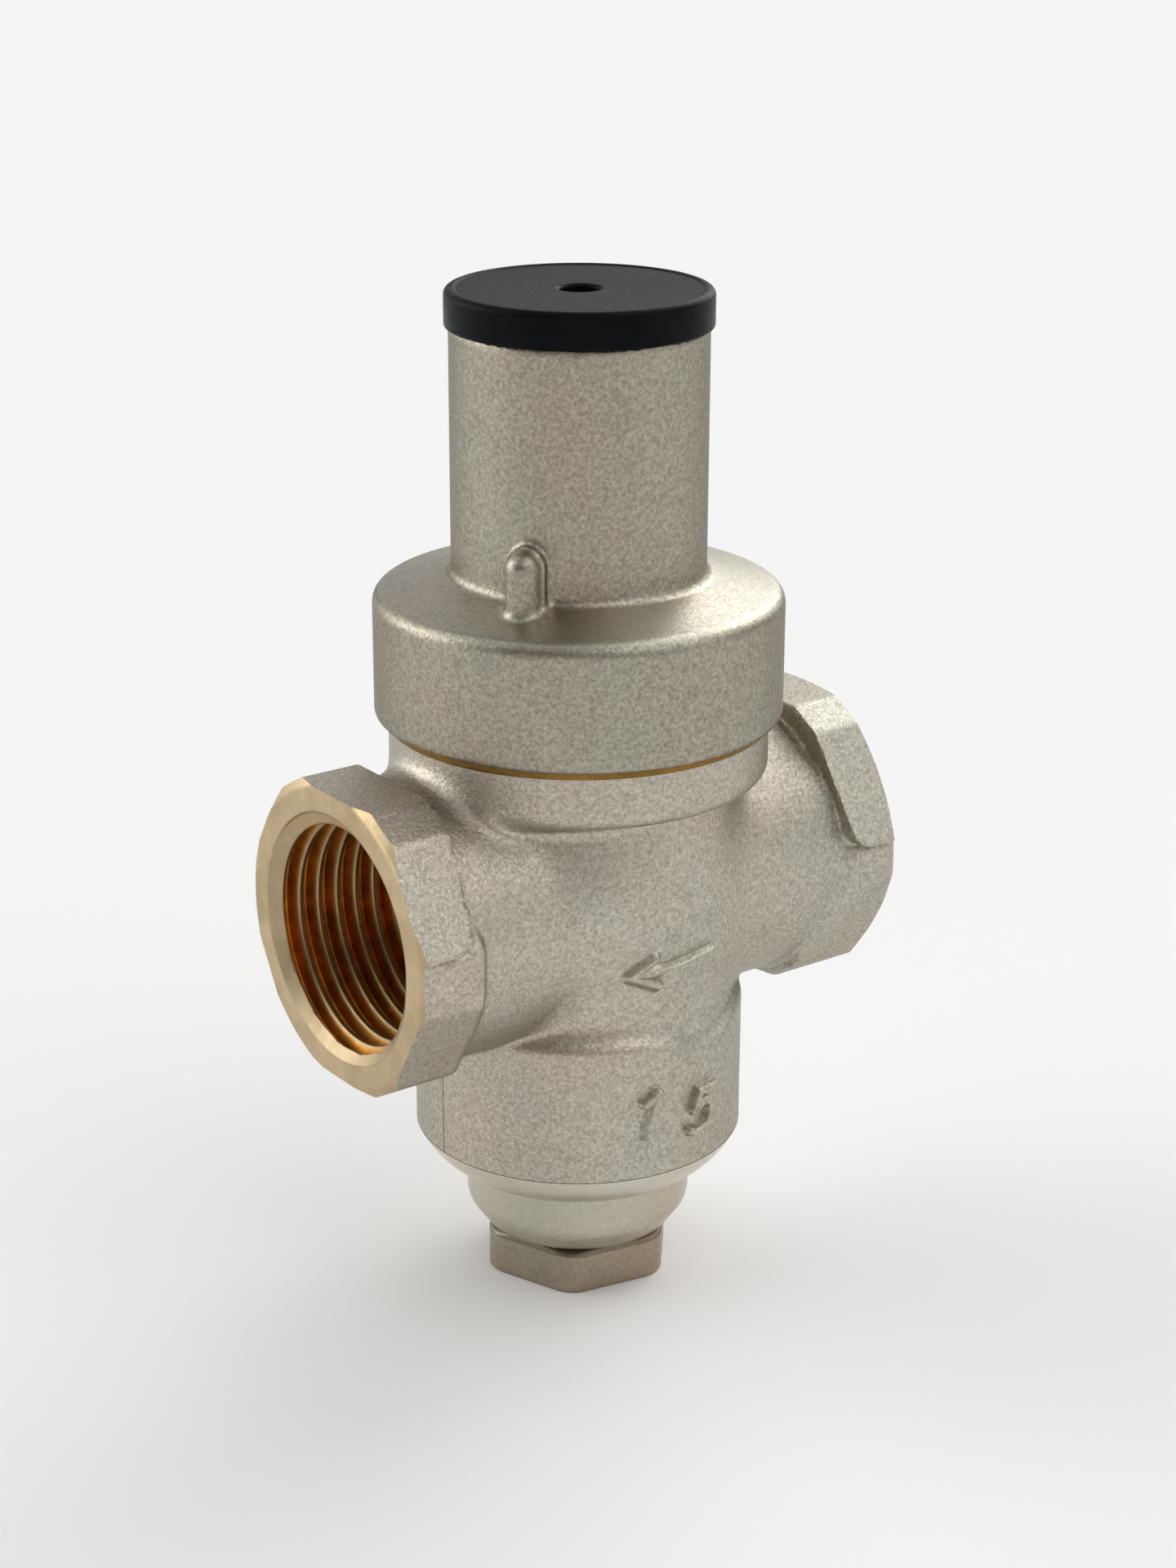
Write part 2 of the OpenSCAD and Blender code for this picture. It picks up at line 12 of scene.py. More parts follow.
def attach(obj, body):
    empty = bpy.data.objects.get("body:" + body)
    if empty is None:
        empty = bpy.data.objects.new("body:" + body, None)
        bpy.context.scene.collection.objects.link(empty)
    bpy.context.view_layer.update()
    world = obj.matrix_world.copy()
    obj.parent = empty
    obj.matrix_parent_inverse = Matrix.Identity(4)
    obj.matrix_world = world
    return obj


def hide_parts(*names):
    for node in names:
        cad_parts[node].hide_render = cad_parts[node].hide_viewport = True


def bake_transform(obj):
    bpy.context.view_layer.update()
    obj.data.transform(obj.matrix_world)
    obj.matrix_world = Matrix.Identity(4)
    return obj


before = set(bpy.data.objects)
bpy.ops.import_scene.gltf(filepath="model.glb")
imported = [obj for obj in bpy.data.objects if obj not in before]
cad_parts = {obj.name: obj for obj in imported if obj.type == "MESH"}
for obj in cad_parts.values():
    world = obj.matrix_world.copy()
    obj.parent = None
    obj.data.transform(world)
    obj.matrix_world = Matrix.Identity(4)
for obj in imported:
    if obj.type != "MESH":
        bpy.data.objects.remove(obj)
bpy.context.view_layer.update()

MM = 0.001

# Ports and their threads
PORT_X = 24.3
PORT_Z = 35.8
PORT_DEPTH = 13.2
PORT_FACE_R = 12.5
MOUTH_R = 10.6
MOUTH_SLOPE = 1.8
MOUTH_DEPTH = 0.75
THREAD_MINOR_R = 9.316
THREAD_MAJOR_R = 10.478
THREAD_PITCH = 1.814
THREAD_PHASE = -0.38
CONE_X, CONE_Q = math.cos(math.radians(30)), math.sin(math.radians(30))

# Hexagon of each port: distance of its flats and cut corners by their angle from the top, and its forged end
PAD_LOW = 2.1
PAD_LEAN = 0.09
PAD_RAISE = 0.6
GROOVE_DEPTH = 0.32
GROOVE_WIDTH = 0.3
OUTLET_END = dict(
    flats={0: 12.3, 30: 13.25, 60: 12.5, 120: 12.3, 150: 13.15, 180: 12.3},
    side_limit=12.85, draft=0.06, pad_reach=5.0, tail=6.5, start=PAD_LOW - 0.5, fade=5.0)
INLET_END = dict(
    flats={0: 13.0, 30: 14.2, 60: 13.2, 120: 12.3, 150: 13.1, 180: 12.2},
    side_limit=13.65, draft=0.19, pad_reach=4.9, tail=7.0, start=-11.0, fade=13.0)

# Forged body between the ports
BRANCH_R = 12.05
BARREL_R = 13.1
BARREL_HALF = 11.5
BELLY_R = 13.5
BELLY_LIFT = 1.6
BELLY_FILLET = 3.0
BRANCH_FILLET = 1.3
SWELL_FILLET = 1.8
SWELL_SPAN = 70
SWELL_FADE = 8
BOSS_R = 14.07
LEDGE_Z = 26.85
LEDGE_R = 13.07
LEDGE_SLOPE = math.atan2(1.35, 1.0)
LEDGE_DIP = 1.9
LEDGE_DIP_X = 3.7
LEDGE_DIP_WIDTH = 4.5
COLLAR_Z = 45.4
COLLAR_R = 15.85
COLLAR_BLANK_TOP = 60
LAND_Z = 50.1
LAND_R = 16.15
NECK_R = 14.2
NECK_TOP = 57.8
NECK_BORE_R = 12.0

# Turned foot of the body and the seat of the plug's seal
FORGING_Z = 13.65
FOOT_Z = 9.8
FOOT_FACE_R = 9.96
FOOT_TOP_R = 13.97
FOOT_INNER_R = 13.2
FOOT_CURVE = (12.72, 10.57, 7.1)
FOOT_GROOVE = 0.3
FOOT_LAP = 0.06
SEAL_SEAT_R = 9.04
SEAL_SEAT_Z = 11.15
PLUG_BORE_R = 8.02

# Bores up the body, as radius, lowest and highest point, and each port's passage, as radius, height and side
BODY_BORES = (
    (PLUG_BORE_R, 0, 20), (9.2, 18.3, 33.8), (7.62, 31.7, 39.7), (10.2, 37.6, 48), (NECK_BORE_R, 46.5, 70))
PASSAGES = ((4.2, 29.1, 1), (3.4, 41.5, -1))
PASSAGE_REACH = 13

# Spring housing
HOUSING_Z = 50.8
SKIRT_R = 17.0
SKIRT_BLANK = 8
SKIRT_BORE_R = 14.22
SKIRT_BORE_TOP = 58.7
SHOULDER_Z = 61.2
SHOULDER_RUN = 6.1
TUBE_R = 10.5
TUBE_BORE_R = 8.9
TUBE_ROOT = 2
TUBE_BASE = 62.6
TUBE_TOP = 82.95
LUG_ANGLE = math.radians(212.2)
LUG_ROOT = 3
LUG_TOP = 65.85
LUG_POST_U = 11.95
LUG_POST_R = 1.38
LUG_WEB_U = 10.2
LUG_WEB_R = 1.5
LUG_WEB_HALF = 1.05

# Cap
CAP_TOP = 86.0
CAP_R = 10.86
CAP_RIM_R = 10.1
CAP_SINK = 0.1
CAP_HOLE_R = 1.65
CAP_UNDER_Z = 84.4
CAP_SPIGOT_R = 8.85
CAP_SPIGOT_BORE_R = 7.25
CAP_SPIGOT_Z = 80.95
CAP_GAP = 0.02

# Bottom plug
PLUG_HEX_Z = 4.1
PLUG_HEX_HALF = 7.55
PLUG_HEX_TURN = 20
PLUG_HEX_R = 8.3
PLUG_CHAMFER_R = 7.45
PLUG_NECK_R = 7.3
PLUG_NECK_HALF = 0.5
PLUG_NECK_GAP = 0.22
PLUG_TAPER = math.atan2(1.7, 2.4)
PLUG_TAPER_R = 7.95
PLUG_TAPER_Z = 3.8
PLUG_COLLAR_R = 9.7
PLUG_FOOT_GAP = 0.02
PLUG_SPIGOT_R = 8.0
PLUG_SPIGOT_LOW = 5
PLUG_SPIGOT_TOP = 18.0
PLUG_RELIEF_R = 7.7
PLUG_RELIEF_Z = 11.2
PLUG_INNER_R = 5.05

# Setting spring
SPRING_LOW = 52.75
SPRING_HIGH = 70.9
SPRING_MIDDLE = (SPRING_LOW + SPRING_HIGH) / 2
SPRING_TURNS = 6
SPRING_R = 6.9
SPRING_WIRE_R = 0.98
SPRING_END_PITCH = 2.45

# Grid of each meshed field: lowest corner, highest corner and cell
BODY_GRID = ((-24.9, -16.6, 12.9), (24.9, 16.6, 50.9), 0.28)
BONNET_GRID = ((-17.5, -17.5, 50.3), (17.5, 17.5, 83.5), 0.28)
PLUG_GRID = ((-10.3, -10.3, -0.5), (10.3, 10.3, 18.6), 0.2)
FAR_INSIDE = -99.0


# Distance fields

def smooth_union(a, b, fillet):
    """Union of two fields with a fillet of about this width."""
    h = np.maximum(fillet - np.abs(a - b), 0) / fillet
    return np.minimum(a, b) - h * h * fillet / 4


def smooth_meet(a, b, edge):
    """Intersection of two fields with a rounded edge of about this width."""
    return -smooth_union(-a, -b, edge)


def ease(t):
    """Smooth step from 0 to 1."""
    t = np.clip(t, 0, 1)
    return t * t * (3 - 2 * t)


def between(z, low, high):
    """Field of the slab between two heights."""
    return np.maximum(low - z, z - high)


def turned(r, z, radius, low, high, edge):
    """Solid cylinder whose two rims are rounded."""
    dr = r - radius + edge
    dz = np.abs(z - (low + high) / 2) - (high - low) / 2 + edge
    return np.hypot(np.maximum(dr, 0), np.maximum(dz, 0)) + np.minimum(np.maximum(dr, dz), 0) - edge


def port_end(x, y, h, flats, side_limit, draft, pad_reach, tail, start, fade):
    """Forged hexagon of one port: drafted sides below, raised pads on its upper side flats."""
    side = np.abs(y)
    hexagon = np.full_like(x, FAR_INSIDE)
    for angle, distance in flats.items():
        a = math.radians(angle)
        hexagon = smooth_meet(hexagon, side * math.sin(a) + h * math.cos(a) - distance, edge=0.2)
    inner = PORT_X - np.abs(x)
    pad_end = pad_reach + PAD_LEAN * (h - PAD_LOW)
    pad_edge = smooth_meet(inner - pad_end, PAD_LOW - h, edge=1.6)
    sunk = hexagon + PAD_RAISE * ease((h - PAD_LOW + 1.0) / 1.6)
    groove = GROOVE_DEPTH * np.exp(-((pad_edge - 0.2) / GROOVE_WIDTH) ** 2)
    groove = groove * ease((inner - 0.6) / 2) * ease((PAD_LOW + 1.2 - h) / 1.2)
    reach = tail - (tail - pad_end + 0.1) * ease((h - start) / fade)
    sides = smooth_meet(sunk, side - side_limit + draft * inner, edge=0.4)
    lower = smooth_meet(sides + groove, inner - reach, edge=0.8)
    pad = smooth_meet(hexagon, pad_edge, edge=0.25)
    return np.maximum(smooth_union(lower, pad, fillet=0.15), -inner - 4)


def forging_skin(x, y, z):
    """Outside of the forged body, before it is machined."""
    h = z - PORT_Z
    r = np.hypot(x, y)
    q = np.hypot(y, h)
    swell = ease(0.5 - x * h / SWELL_SPAN) * (1 - 0.2 * ease(h / SWELL_FADE))
    swell = swell * (1 - 0.75 * ease((x - 1) / 6) * ease(-h / SWELL_FADE))
    barrel = np.maximum(r - BARREL_R, np.abs(h) - BARREL_HALF)
    d = smooth_union(q - BRANCH_R, barrel, fillet=BRANCH_FILLET + SWELL_FILLET * swell)
    belly = np.sqrt(x * x + y * y + (h - BELLY_LIFT) ** 2) - BELLY_R
    d = smooth_union(d, belly, fillet=BELLY_FILLET)
    ledge = LEDGE_Z - LEDGE_DIP * np.exp(-((x - LEDGE_DIP_X) / LEDGE_DIP_WIDTH) ** 2)
    top = (z - ledge) * math.cos(LEDGE_SLOPE) + (r - LEDGE_R) * math.sin(LEDGE_SLOPE)
    d = smooth_union(d, smooth_meet(r - BOSS_R, top, edge=0.25), fillet=0.5)
    collar = turned(r, z, COLLAR_R, COLLAR_Z, COLLAR_BLANK_TOP, edge=1.4)
    d = smooth_union(d, collar, fillet=0.9 + 1.0 * ease(-x / 11))
    end = np.where(x < 0, port_end(x, y, h, **OUTLET_END), port_end(x, y, h, **INLET_END))
    return smooth_union(d, end, fillet=0.35 + 0.9 * ease(x) * ease((PAD_LOW + 1 - h) / 3))


def port_cone(x, y, z):
    """Turned chamfer round each port's face."""
    return (np.abs(x) - PORT_X) * CONE_X + (np.hypot(y, z - PORT_Z) - PORT_FACE_R) * CONE_Q


def forging(x, y, z):
    """Machined body between its turned foot and its turned land."""
    r = np.hypot(x, y)
    along = np.abs(x)
    d = forging_skin(x, y, z)
    d = np.maximum(d, between(z, FORGING_Z, LAND_Z))
    d = np.maximum(d, np.maximum(along - PORT_X, port_cone(x, y, z)))
    holes = [np.maximum(np.hypot(y, z - PORT_Z) - MOUTH_R, PORT_X - PORT_DEPTH - along)]
    holes += [np.maximum(r - radius, between(z, low, high)) for radius, low, high in BODY_BORES]
    holes += [np.maximum(np.hypot(y, z - height) - radius, between(side * x, 0, PASSAGE_REACH))
              for radius, height, side in PASSAGES]
    for hole in holes:
        d = np.maximum(d, -hole)
    return d


def bonnet(x, y, z):
    """Spring housing: skirt, sloping shoulder, tube and lug."""
    r = np.hypot(x, y)
    skirt = turned(r, z, SKIRT_R, HOUSING_Z, SHOULDER_Z + SKIRT_BLANK, edge=0.5)
    slope = math.atan2(TUBE_BASE - SHOULDER_Z, SHOULDER_RUN)
    shoulder = (z - SHOULDER_Z) * math.cos(slope) - (SKIRT_R - r) * math.sin(slope)
    skirt = smooth_meet(skirt, shoulder, edge=1.1)
    tube = turned(r, z, TUBE_R, HOUSING_Z + TUBE_ROOT, TUBE_TOP, edge=0.25)
    d = smooth_union(skirt, tube, fillet=0.75)
    u = x * math.cos(LUG_ANGLE) + y * math.sin(LUG_ANGLE)
    v = -x * math.sin(LUG_ANGLE) + y * math.cos(LUG_ANGLE)
    above = np.maximum(z - LUG_TOP, 0)
    post = np.sqrt((u - LUG_POST_U) ** 2 + v * v + above ** 2) - LUG_POST_R
    web = np.maximum(np.hypot(v, above) - LUG_WEB_R, np.abs(u - LUG_WEB_U) - LUG_WEB_HALF)
    lug = np.maximum(smooth_union(post, web, fillet=0.9), TUBE_BASE - LUG_ROOT - z)
    d = smooth_union(d, lug, fillet=0.7)
    d = np.maximum(d, -np.maximum(r - SKIRT_BORE_R, z - SKIRT_BORE_TOP))
    return np.maximum(d, TUBE_BORE_R - r)


def plug(x, y, z):
    """Bottom plug: hexagon, taper, collar and threaded spigot."""
    r = np.hypot(x, y)
    hexagon = np.full_like(x, FAR_INSIDE)
    for i in range(6):
        a = math.radians(PLUG_HEX_TURN + 60 * i)
        hexagon = smooth_meet(hexagon, x * math.cos(a) + y * math.sin(a) - PLUG_HEX_HALF, edge=0.3)
    hexagon = smooth_meet(hexagon, r - PLUG_HEX_R, edge=0.3)
    chamfer = (z - PLUG_HEX_Z) * CONE_X + (r - PLUG_CHAMFER_R) * CONE_Q
    hexagon = smooth_meet(hexagon, chamfer, edge=0.2)
    hexagon = smooth_meet(hexagon, between(z, 0, PLUG_HEX_Z), edge=0.25)
    cone = (r - PLUG_TAPER_R) * math.cos(PLUG_TAPER) - (z - PLUG_TAPER_Z) * math.sin(PLUG_TAPER)
    collar = smooth_meet(r - PLUG_COLLAR_R, cone, edge=0.35)
    collar = smooth_meet(collar, PLUG_HEX_Z + PLUG_NECK_GAP - z, edge=0.1)
    collar = np.maximum(collar, z - FOOT_Z + PLUG_FOOT_GAP)
    neck = np.maximum(r - PLUG_NECK_R, np.abs(z - PLUG_HEX_Z) - PLUG_NECK_HALF)
    d = np.minimum(np.minimum(hexagon, neck), collar)
    spigot_r = np.where(z < PLUG_RELIEF_Z, PLUG_RELIEF_R, PLUG_SPIGOT_R)
    d = np.minimum(d, np.maximum(r - spigot_r, between(z, PLUG_SPIGOT_LOW, PLUG_SPIGOT_TOP)))
    return np.maximum(d, -np.maximum(r - PLUG_INNER_R, PLUG_RELIEF_Z - z))


# Meshes

def skin(field, low, high, cell):
    """Dual contouring of a field: vertices and quads, with sharp edges kept."""
    low = np.array(low, float)
    count = np.ceil((np.array(high) - low) / cell).astype(int) + 1
    grid = np.meshgrid(*[low[i] + cell * np.arange(count[i]) for i in range(3)], indexing="ij")
    value = field(*grid)
    inside = value < 0
    cells, points, normals, quads = [], [], [], []
    for axis in range(3):
        step = np.eye(3, dtype=int)[axis]
        first = np.take(inside, range(count[axis] - 1), axis)
        second = np.take(inside, range(1, count[axis]), axis)
        start = np.argwhere(first != second)
        a, b = value[tuple(start.T)], value[tuple((start + step).T)]
        lo, hi = np.zeros(len(start)), np.ones(len(start))
        base = low + cell * start
        t = a / (a - b)
        for _ in range(6):
            f = field(*(base + (t * cell)[:, None] * step).T)
            same = (f < 0) == (a < 0)
            lo, hi = np.where(same, t, lo), np.where(same, hi, t)
            a, b = np.where(same, f, a), np.where(same, b, f)
            t = lo + (hi - lo) * np.clip(a / (a - b), 0.1, 0.9)
        p = base + (t * cell)[:, None] * step
        reach = 0.01
        n = np.stack([field(*(p + reach * k).T) - field(*(p - reach * k).T) for k in np.eye(3)], 1)
        n /= np.linalg.norm(n, axis=1)[:, None] + 1e-12
        u, v = np.eye(3, dtype=int)[(axis + 1) % 3], np.eye(3, dtype=int)[(axis + 2) % 3]
        corners = (start, start - u, start - u - v, start - v)
        flat = [np.ravel_multi_index(tuple(c.T), count) for c in corners]
        rising = inside[tuple(start.T)]
        quads.append(np.where(rising[:, None], np.stack(flat, 1), np.stack(flat[::-1], 1)))
        cells += flat
        points += [p] * 4
        normals += [n] * 4
    quads = np.concatenate(quads)
    cells, points, normals = np.concatenate(cells), np.concatenate(points), np.concatenate(normals)
    names, cell_of = np.unique(cells, return_inverse=True)
    size = len(names)

    def total(w):
        return np.bincount(cell_of, w, size)

    share = total(np.ones(len(cells)))
    center = np.stack([total(points[:, i]) / share for i in range(3)], 1)
    off = np.einsum("ij,ij->i", normals, points - center[cell_of])
    ata = np.empty((size, 3, 3))
    atb = np.empty((size, 3))
    for i in range(3):
        atb[:, i] = total(normals[:, i] * off)
        for j in range(3):
            ata[:, i, j] = total(normals[:, i] * normals[:, j])
    ata += np.eye(3) * 0.01 * share[:, None, None]
    move = np.linalg.solve(ata, atb[:, :, None])[:, :, 0]
    corner = low + cell * np.stack(np.unravel_index(names, count), 1)
    place = np.clip(center + move, corner, corner + cell)
    return place, np.searchsorted(names, quads)


def make_piece(name, points, faces, materials, slot, body="housing", sharp=38, pick=None):
    """Mesh object that rides a body. pick gives each face's material from its middle and normal."""
    mesh = bpy.data.meshes.new(name)
    mesh.from_pydata((np.asarray(points) * MM).tolist(), [], np.asarray(faces).tolist())
    mesh.update()
    for m in materials:
        mesh.materials.append(m)
    if pick:
        middle = np.empty(len(mesh.polygons) * 3)
        normal = np.empty(len(mesh.polygons) * 3)
        mesh.polygons.foreach_get("center", middle)
        mesh.polygons.foreach_get("normal", normal)
        index = pick(middle.reshape(-1, 3) / MM, normal.reshape(-1, 3)).astype(np.int32)
        mesh.polygons.foreach_set("material_index", index)
    mesh.shade_smooth()
    mesh.set_sharp_from_angle(angle=math.radians(sharp))
    piece = bpy.data.objects.new(name, mesh)
    bpy.context.scene.collection.objects.link(piece)
    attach(piece, body)
    return piece


def rounded(corners, steps=6):
    """Closed outline of (r, z, rounding) corners as points, with arcs at the rounded ones."""
    out = []
    for i, (r, z, size) in enumerate(corners):
        here = np.array((r, z), float)
        if not size:
            out.append(here)
            continue
        before = np.array(corners[i - 1][:2], float) - here
        after = np.array(corners[(i + 1) % len(corners)][:2], float) - here
        before /= np.linalg.norm(before)
        after /= np.linalg.norm(after)
        half = math.acos(np.clip(before @ after, -1, 1)) / 2
        reach = size / math.tan(half)
        middle = here + (before + after) / np.linalg.norm(before + after) * size / math.sin(half)
        a0, a1 = here + before * reach - middle, here + after * reach - middle
        turn = math.atan2(a0[0] * a1[1] - a0[1] * a1[0], a0 @ a1)
        for k in range(steps + 1):
            c, s = math.cos(turn * k / steps), math.sin(turn * k / steps)
            out.append(middle + np.array((c * a0[0] - s * a0[1], s * a0[0] + c * a0[1])))
    return np.array(out)


def lathe(outline, steps=160):
    """Ring turned from a closed outline that runs counterclockwise in (r, z)."""
    n = len(outline)
    a = 2 * math.pi * np.arange(steps) / steps
    r, z = outline[:, 0][None], outline[:, 1][None]
    ring = [r * np.cos(a)[:, None], r * np.sin(a)[:, None], z + 0 * a[:, None]]
    points = np.stack(ring, 2).reshape(-1, 3)
    i, j = np.meshgrid(np.arange(steps), np.arange(n), indexing="ij")
    i2, j2 = (i + 1) % steps, (j + 1) % n
    faces = np.stack([i * n + j, i2 * n + j, i2 * n + j2, i * n + j2], 2).reshape(-1, 4)
    return points, faces


def thread_liner(side):
    """Threaded wall of a port: a closed ring with a helical inside and a chamfered mouth."""
    turns, rows = 144, 220
    flank_start, flank_width = 0.1, 0.78
    mouth_gap, wall_gap = 0.012, 0.004
    depth = np.linspace(0, PORT_DEPTH, rows)
    angle = 2 * math.pi * np.arange(turns) / turns
    phase = (depth[None] / THREAD_PITCH - angle[:, None] / (2 * math.pi) + THREAD_PHASE) % 1
    height = ease((np.abs(phase - 0.5) * 2 - flank_start) / flank_width)
    inner = THREAD_MAJOR_R - (THREAD_MAJOR_R - THREAD_MINOR_R) * height
    inner = np.maximum(inner, MOUTH_R - mouth_gap - MOUTH_SLOPE * depth[None])
    outer = np.full_like(inner, MOUTH_R - wall_gap)
    x = side * (PORT_X - depth[None] + 0 * inner)
    rings = [np.stack([x, r * np.cos(angle)[:, None], PORT_Z + r * np.sin(angle)[:, None]], 2)
             for r in (inner, outer)]
    points = np.concatenate([g.reshape(-1, 3) for g in rings])
    i, j = np.meshgrid(np.arange(turns), np.arange(rows - 1), indexing="ij")
    i2 = (i + 1) % turns
    wall = np.stack([i * rows + j, i * rows + j + 1, i2 * rows + j + 1, i2 * rows + j], 2).reshape(-1, 4)
    shell = wall[:, ::-1] + turns * rows
    k = np.arange(turns)
    k2 = (k + 1) % turns
    caps = []
    for row, flip in ((0, 1), (rows - 1, -1)):
        quad = np.stack([k * rows + row, k2 * rows + row, k2 * rows + row + turns * rows,
                         k * rows + row + turns * rows], 1)
        caps.append(quad[:, ::flip])
    faces = np.concatenate([wall, shell] + caps)
    return points, faces if side > 0 else faces[:, ::-1]


def surface_front(x, z, field, near=-30.0, far=-8.0):
    """y of the front of a field under each (x, z), by bisection."""
    a, b = np.full_like(x, near), np.full_like(x, far)
    for _ in range(30):
        m = (a + b) / 2
        out = field(x, m, z) > 0
        a, b = np.where(out, m, a), np.where(out, b, m)
    return (a + b) / 2


def raised_stroke(path, half, height, field, soft=0.62):
    """Raised bar with soft edges along a path of (x, z) points on the front of a field."""
    spacing, look, sink, root = 0.09, 0.15, 0.1, 0.5
    path = np.array(path, float)
    length = np.concatenate([[0], np.cumsum(np.linalg.norm(np.diff(path, axis=0), axis=1))])
    along = np.linspace(-half, length[-1] + half, int((length[-1] + 2 * half) / spacing))
    inner = np.clip(along, 0, length[-1])

    def at(s):
        return np.stack([np.interp(np.clip(s, 0, length[-1]), length, path[:, i]) for i in range(2)], 1)

    ahead = at(inner + look) - at(inner - look)
    ahead /= np.linalg.norm(ahead, axis=1)[:, None]
    over = along - inner
    width = np.sqrt(np.maximum(half * half - over * over, 0.0004))
    across = np.linspace(-1, 1, 17)
    left = np.stack([-ahead[:, 1], ahead[:, 0]], 1)
    place = (at(inner) + over[:, None] * ahead)[:, None]
    place = place + across[None, :, None] * width[:, None, None] * left[:, None]
    rho = np.hypot(over[:, None], across[None] * width[:, None]) / half
    lift = (height + sink) * ease((1 - rho) / soft) - sink
    x, z = place[..., 0], place[..., 1]
    y = surface_front(x, z, field)
    top = np.stack([x, y - lift, z], 2)
    low = np.stack([x, y + root, z], 2)
    n, m = x.shape
    points = np.concatenate([top.reshape(-1, 3), low.reshape(-1, 3)])
    i, j = np.meshgrid(np.arange(n - 1), np.arange(m - 1), indexing="ij")
    upper = np.stack([i * m + j, i * m + j + 1, (i + 1) * m + j + 1, (i + 1) * m + j], 2).reshape(-1, 4)
    loop = list(range(m)) + [i * m + m - 1 for i in range(1, n)]
    loop += [(n - 1) * m + k for k in range(m - 2, -1, -1)] + [i * m for i in range(n - 2, 0, -1)]
    loop = np.array(loop)
    nxt = np.roll(loop, -1)
    side = np.stack([nxt, loop, loop + n * m, nxt + n * m], 1)
    return points, np.concatenate([upper, upper[:, ::-1] + n * m, side])


def join(parts):
    """Several (points, faces) as one."""
    points, faces, start = [], [], 0
    for p, f in parts:
        points.append(p)
        faces.append(f + start)
        start += len(p)
    return np.concatenate(points), np.concatenate(faces)


def wound_spring(first, last):
    """Wire of the setting spring between two turns, as one closed tube; the end turns lie flatter."""
    ring, sides = 48, 14
    t = np.arange(first * ring, last * ring + 1) / ring
    rise = SPRING_HIGH - SPRING_LOW - 2 * SPRING_WIRE_R
    pitch = (rise - 2 * SPRING_END_PITCH) / (SPRING_TURNS - 2)
    bottom = t * SPRING_END_PITCH
    middle = SPRING_END_PITCH + (t - 1) * pitch
    top = rise - (SPRING_TURNS - t) * SPRING_END_PITCH
    z = np.where(t < 1, bottom, np.where(t > SPRING_TURNS - 1, top, middle)) + SPRING_LOW + SPRING_WIRE_R
    a = 2 * math.pi * t
    b = 2 * math.pi * np.arange(sides) / sides
    out = SPRING_R + SPRING_WIRE_R * np.cos(b)[None]
    height = z[:, None] + SPRING_WIRE_R * np.sin(b)[None]
    points = np.stack([out * np.cos(a)[:, None], out * np.sin(a)[:, None], height], 2)
    n = len(t)
    i, j = np.meshgrid(np.arange(n - 1), np.arange(sides), indexing="ij")
    i2, j2 = i + 1, (j + 1) % sides
    quads = [i * sides + j, i2 * sides + j, i2 * sides + j2, i * sides + j2]
    quads = np.stack(quads, 2).reshape(-1, 4)[:, ::-1].tolist()
    quads.append(list(range(sides)))
    quads.append([(n - 1) * sides + k for k in range(sides - 1, -1, -1)])
    return points.reshape(-1, 3), quads


# Materials

def new_material(name, color, roughness, metallic):
    """Material with one Principled shader, and that shader with its tree."""
    m = bpy.data.materials.new(name)
    m.use_nodes = True
    shader = m.node_tree.nodes["Principled BSDF"]
    shader.inputs["Base Color"].default_value = (*color, 1)
    shader.inputs["Roughness"].default_value = roughness
    shader.inputs["Metallic"].default_value = metallic
    return m, m.node_tree, shader


def add(tree, kind, **values):
    """New node, with values set on its sockets or, where it has no such socket, on the node."""
    n = tree.nodes.new(kind)
    for key, value in values.items():
        if key in n.inputs:
            n.inputs[key].default_value = value
        else:
            setattr(n, key, value)
    return n


def position(tree):
    """Place on the piece, in metres."""
    return add(tree, "ShaderNodeTexCoord").outputs["Object"]


def noise(tree, scale, detail=3.0, rough=0.6, stretch=None):
    """Noise of about this many cells in a metre, stretched along the axes if asked."""
    n = add(tree, "ShaderNodeTexNoise", Scale=scale, Detail=detail, Roughness=rough)
    where = position(tree)
    if stretch:
        m = add(tree, "ShaderNodeMapping")
        m.inputs["Scale"].default_value = stretch
        tree.links.new(where, m.inputs["Vector"])
        where = m.outputs["Vector"]
    tree.links.new(where, n.inputs["Vector"])
    return n.outputs["Fac"]


def spread(tree, value, span, out):
    """Value brought from one span to another, and held at its ends."""
    n = add(tree, "ShaderNodeMapRange")
    for i, v in enumerate((*span, *out)):
        n.inputs[i + 1].default_value = v
    tree.links.new(value, n.inputs[0])
    return n.outputs[0]


def mix(tree, factor, a, b):
    """Colour between a and b, each a colour or a socket."""
    n = add(tree, "ShaderNodeMix", data_type="RGBA")
    tree.links.new(factor, n.inputs[0])
    for socket, v in ((n.inputs[6], a), (n.inputs[7], b)):
        if isinstance(v, tuple):
            socket.default_value = (*v, 1)
        else:
            tree.links.new(v, socket)
    return n.outputs[2]


def calculate(tree, operation, a, b=None):
    """Result of a sum on one or two values, each a number or a socket."""
    n = add(tree, "ShaderNodeMath", operation=operation)
    for socket, v in zip(n.inputs, (a, b)):
        if isinstance(v, (int, float)):
            socket.default_value = v
        elif v is not None:
            tree.links.new(v, socket)
    return n.outputs[0]


def bump(tree, shader, height, strength, distance):
    """Fine relief from a height socket."""
    n = add(tree, "ShaderNodeBump", Strength=strength, Distance=distance)
    tree.links.new(height, n.inputs["Height"])
    tree.links.new(n.outputs["Normal"], shader.inputs["Normal"])


def shade(color, factor):
    """Colour made darker or lighter."""
    return tuple(c * factor for c in color)


def grey(level):
    """Plain grey."""
    return (level, level, level)


